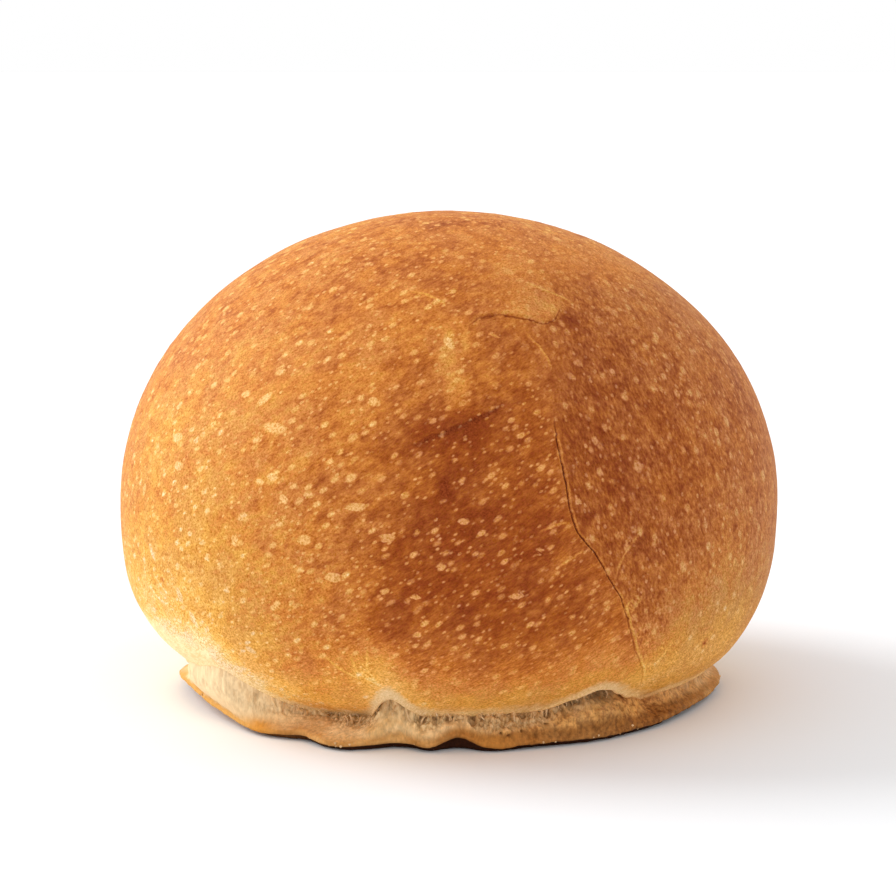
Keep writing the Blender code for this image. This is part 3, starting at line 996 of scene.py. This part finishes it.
# Colours of the crumb and the base. A pair is blended from place to place, dark first.
CRUMB = (0.66, 0.39, 0.155, 1), (0.90, 0.67, 0.37, 1)
SKIN = (0.70, 0.41, 0.155, 1), (0.88, 0.61, 0.31, 1)
RUDDY_CRUMB = (0.46, 0.22, 0.075, 1)
RUDDY_SKIN = (0.34, 0.108, 0.017, 1), (0.70, 0.335, 0.088, 1)
GOLDEN_SKIN = (0.88, 0.67, 0.41, 1)
RIM = (0.44, 0.19, 0.045, 1), (0.68, 0.37, 0.125, 1)
RUDDY_RIM = (0.14, 0.038, 0.006, 1), (0.34, 0.125, 0.026, 1)
GOLDEN_RIM = (0.68, 0.35, 0.08, 1)
TOASTED = (0.62, 0.26, 0.04, 1)
SEARED = (0.32, 0.11, 0.03, 1)
# Painted shade: the colours that darken the deep hollows and the bubble pits.
DEEP_HOLLOW_SHADE = (0.20, 0.105, 0.04, 1)
BUBBLE_PIT_SHADE = (0.24, 0.11, 0.035, 1)
UNDERSIDE = (0.20, 0.08, 0.025, 1), (0.42, 0.22, 0.09, 1)
# The foot under the rim is scorched, and its near black also stands in as painted shade under the
# rim. On the golden left, where the rim lifts, it is lighter.
SCORCHED_FOOT_AND_SHADE = (0.035, 0.010, 0.004, 1)
GOLDEN_FOOT = (0.36, 0.14, 0.035, 1)


def torn_crumb():
    """Crumb and base finish: cream crumb, tan skin below it, a browned rim, a scorched foot in
    painted shade.
    """
    material, shader, start = surface("torn_crumb")
    tree = material.node_tree
    place = place_mm(start)
    band, torn, golden, ruddy = (named(tree, name) for name in ("band", "torn", "golden", "ruddy"))
    golden = golden.ease(0.0, 1.0)
    cloudy = place.noise(3.0, 3.0, 0.6, 5.0)
    fine = place.vector("MULTIPLY", (1.0, 1.0, 0.35)).noise(0.5, 2.0, 0.65, 35.0)
    crumb = mixed(fine.ease(0.3, 0.7), *CRUMB)
    skin = mixed(cloudy.ease(0.35, 0.65), *SKIN)
    blotchy = place.noise(0.8, 3.0, 0.7, 65.0).ease(0.36, 0.60)
    skin = mixed(ruddy * 0.9, skin, mixed(blotchy, *RUDDY_SKIN))
    crumb = mixed(ruddy * 0.55, crumb, RUDDY_CRUMB)
    colour = mixed(torn * (fine + 0.35), skin, crumb)
    colour = mixed(golden * 0.85, colour, GOLDEN_SKIN)
    brown = mixed(cloudy.ease(0.3, 0.7), *RIM)
    brown = mixed(ruddy * 0.9, brown, mixed(blotchy, *RUDDY_RIM))
    brown = mixed(golden * 0.8, brown, GOLDEN_RIM)
    rim_skin = (band + (cloudy - 0.5) * 0.5 + ruddy * 0.25).ease(0.82, 1.08)
    colour = mixed(rim_skin, colour, brown)
    low_down = (band + (cloudy - 0.5) * 0.3).ease(0.68, 0.95)
    colour = mixed(named(tree, "toasted") * low_down, colour, TOASTED)
    colour = mixed(named(tree, "seared") * low_down * 0.55, colour, SEARED)
    # Painted shade in the bubble pits and the deep hollows.
    pit_shade = (named(tree, "pit_shade") + (fine - 0.5) * 1.2).ease(0.35, 0.9)
    deep = (named(tree, "hollow_shade") + (fine - 0.5) * 1.6).ease(0.45, 1.1)
    colour = mixed(deep * (1.0 - golden) * 0.55, colour, DEEP_HOLLOW_SHADE)
    colour = mixed(pit_shade * 0.6, colour, BUBBLE_PIT_SHADE)
    # Painted shade, with the real scorch: the foot under the rim is near black, and lighter on the
    # golden left.
    colour = mixed(band.ease(1.17, 1.35), colour, mixed(golden, SCORCHED_FOOT_AND_SHADE, GOLDEN_FOOT))
    colour = mixed(band.ease(1.9, 2.0), colour, mixed(cloudy.ease(0.35, 0.6), *UNDERSIDE))
    # Painted shade: the clefts between the crumb's fibres are darkened. The rest of this factor is
    # the crumb's own uneven tone.
    cleft = fibres(place) * band.ease(1.05, 0.9) * (torn * 0.6 + 0.4) * (1.0 - golden * 0.85)
    tone_and_cleft_shade = (fine - 0.5) * (1.0 - golden * 0.7) + 1.04 - cleft * 0.42
    link(colour.times(tone_and_cleft_shade), shader, "Base Color")
    link(torn * 0.2 + 0.65, shader, "Roughness")
    link(bumped(fine, 0.6, 0.2), shader, "Normal")
    return material


crumb_finish = torn_crumb()
grown(base, crumb_relief(crumb_finish), BASE_RELIEF)

# --- The torn strands and the crumbs on the rim ----------------------------------------------
# Gluten strands that still bridge the tear, thin in the middle and spread at both ends, and the
# loose crumbs that stuck to the rim. Both are strewn over the base piece and joined as meshes.

STRANDS = {"Per square metre": 4e5, "Shortest": 0.7, "Longest": 1.9, "Thickness": 0.035, "Bow": 0.2}
RIM_CRUMBS = {"Per square metre": 1.1e6, "Smallest": 0.07, "Largest": 0.22}
LOOSE_CRUMB = (0.60, 0.35, 0.15, 1), (0.80, 0.57, 0.32, 1)


def loose_crumb():
    """Pale crumb, cream to tan from place to place."""
    material, shader, start = surface("loose_crumb")
    cloudy = place_mm(start).noise(1.0, 2.0, 0.6, 55.0).ease(0.35, 0.65)
    link(mixed(cloudy, *LOOSE_CRUMB), shader, "Base Color")
    shader.inputs["Roughness"].default_value = 0.8
    return material


def strewn(given, start, mask, seed):
    """Random points over the base piece where a stored number allows them."""
    inputs = {"Mesh": given["Geometry"], "Density": given["Per square metre"] * mask, "Seed": seed}
    points = start.node("GeometryNodeDistributePointsOnFaces", {}, inputs)
    return points, Wire(start.tree, points.socket.node.outputs["Normal"])


def chance(start, low, high, seed, vector=False):
    """A random value for each point, between two bounds."""
    kind, first = ("FLOAT_VECTOR", 0) if vector else ("FLOAT", 2)
    inputs = {first: low, first + 1: high, "Seed": seed}
    return start.node("FunctionNodeRandomValue", {"data_type": kind}, inputs, 0 if vector else 1)


def planted(points, thing, turn, size, material):
    """Ends a tree with the thing set on every point, turned and at its own size in mm."""
    inputs = {"Points": points, "Instance": thing, "Rotation": turn, "Scale": size * MM}
    close_tree(points.node("GeometryNodeInstanceOnPoints", {}, inputs), material)


def strand_tree(material):
    tree, given = shape_tree("torn strands", STRANDS)
    start = Wire(tree)
    up_high = named(tree, "band").ease(0.65, 0.25) * named(tree, "torn")
    up_high *= 1.0 - named(tree, "golden").ease(0.1, 0.6)
    points, normal = strewn(given, start, up_high, 7)
    bow = start.node("ShaderNodeCombineXYZ", {}, {"X": given["Bow"] * 2.0})
    ends = {"Start": (0, 0, -0.5), "End": (0, 0, 0.5), "Resolution": 7}
    ends["Start Handle"] = bow.vector("ADD", (0, 0, -0.2))
    ends["End Handle"] = bow.vector("ADD", (0, 0, 0.2))
    line = start.node("GeometryNodeCurvePrimitiveBezierSegment", {"mode": "POSITION"}, ends)
    along = start.node("GeometryNodeSplineParameter") * 2.0 - 1.0
    spread = along * along * 1.5 + 0.6
    line = start.node("GeometryNodeSetCurveRadius", {}, {"Curve": line, "Radius": spread})
    round_section = {"Resolution": 5, "Radius": given["Thickness"]}
    section = start.node("GeometryNodeCurvePrimitiveCircle", {}, round_section)
    thread = {"Curve": line, "Profile Curve": section, "Scale": spread, "Fill Caps": True}
    thread = start.node("GeometryNodeCurveToMesh", {}, thread)
    lean = chance(start, (-0.45, -0.45, 1.0), (0.45, 0.45, 1.0), 11, True)
    turn = start.node("FunctionNodeAlignRotationToVector", {"axis": "Z"}, {"Vector": lean})
    facing = {"Rotation": turn, "Vector": normal}
    turn = start.node("FunctionNodeAlignRotationToVector", {"axis": "X", "pivot_axis": "Z"}, facing)
    length = chance(start, given["Shortest"], given["Longest"], 13)
    planted(points, thread, turn, length, material)
    return tree


def rim_crumb_tree(material):
    tree, given = shape_tree("rim crumbs", RIM_CRUMBS)
    start = Wire(tree)
    points, _ = strewn(given, start, named(tree, "rim_edge"), 17)
    ball = start.node("GeometryNodeMeshIcoSphere", {}, {"Radius": 1.0, "Subdivisions": 2})
    place = start.node("GeometryNodeInputPosition")
    dent = place.node("ShaderNodeTexNoise", {}, {"Vector": place, "Scale": 1.6}, 1)
    dent = dent.vector("SUBTRACT", (0.5, 0.5, 0.5))
    dented = {"Geometry": ball, "Offset": dent.vector("MULTIPLY", (1.6, 1.6, 1.6))}
    ball = start.node("GeometryNodeSetPosition", {}, dented)
    turn = chance(start, (0, 0, 0), (math.tau, math.tau, math.tau), 19, True)
    size = chance(start, given["Smallest"], given["Largest"], 23)
    planted(points, ball, turn, size, material)
    return tree


strands = placed("torn_strands", base.data.copy())
crumbs = placed("rim_crumbs", base.data.copy())
loose_finish = loose_crumb()
grown(strands, strand_tree(loose_finish), STRANDS)
grown(crumbs, rim_crumb_tree(loose_finish), RIM_CRUMBS)
for piece in (base, strands, crumbs):
    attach(piece, "root")
    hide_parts("bread_roll")

# --- The table, the light and the camera -----------------------------------------------------
# A plain white table that runs out of sight, one wide soft light from the left and a little
# behind, and white walls all round. The camera looks a little down on the roll, from close by.

TABLE_WHITE = (0.85, 0.865, 0.88, 1)
LIGHT_STRENGTH = 2.2
LIGHT_WIDTH = math.radians(38)
LIGHT_COURSE = Vector((0.78, -0.34, -0.52))
AIM = Vector((0, 0, 35.87 * MM))
CAMERA_DISTANCE = 378 * MM
CAMERA_RISE = math.radians(9)
TABLE_REACH = 12.0

table_mesh = bpy.data.meshes.new("table")
corners = [(x * TABLE_REACH, y * TABLE_REACH, 0) for x, y in ((-1, -1), (1, -1), (1, 1), (-1, 1))]
table_mesh.from_pydata(corners, [], [(0, 1, 2, 3)])
table = placed("table", table_mesh)
white, shader, _ = surface("white_table", 0.1)
shader.inputs["Base Color"].default_value = TABLE_WHITE
shader.inputs["Roughness"].default_value = 0.8
table_mesh.materials.append(white)

lamp = bpy.data.lights.new("soft_window", "SUN")
lamp.energy = LIGHT_STRENGTH
lamp.angle = LIGHT_WIDTH
lamp_holder = placed("soft_window", lamp)
lamp_holder.rotation_euler = LIGHT_COURSE.to_track_quat("-Z", "Y").to_euler()

world = bpy.data.worlds.new("white_room")
bpy.context.scene.world = world
world.use_nodes = True
background = world.node_tree.nodes["Background"].inputs
background["Color"].default_value = (1, 1, 1, 1)
background["Strength"].default_value = 1.0

camera_data = bpy.data.cameras.new("camera")
camera_data.lens = 100
camera_data.sensor_width = 36
camera = placed("camera", camera_data)
back = Vector((0, -math.cos(CAMERA_RISE), math.sin(CAMERA_RISE)))
camera.location = AIM + CAMERA_DISTANCE * back
camera.rotation_euler = (-back).to_track_quat("-Z", "Y").to_euler()
bpy.context.scene.camera = camera
bpy.context.scene.view_settings.view_transform = "Standard"
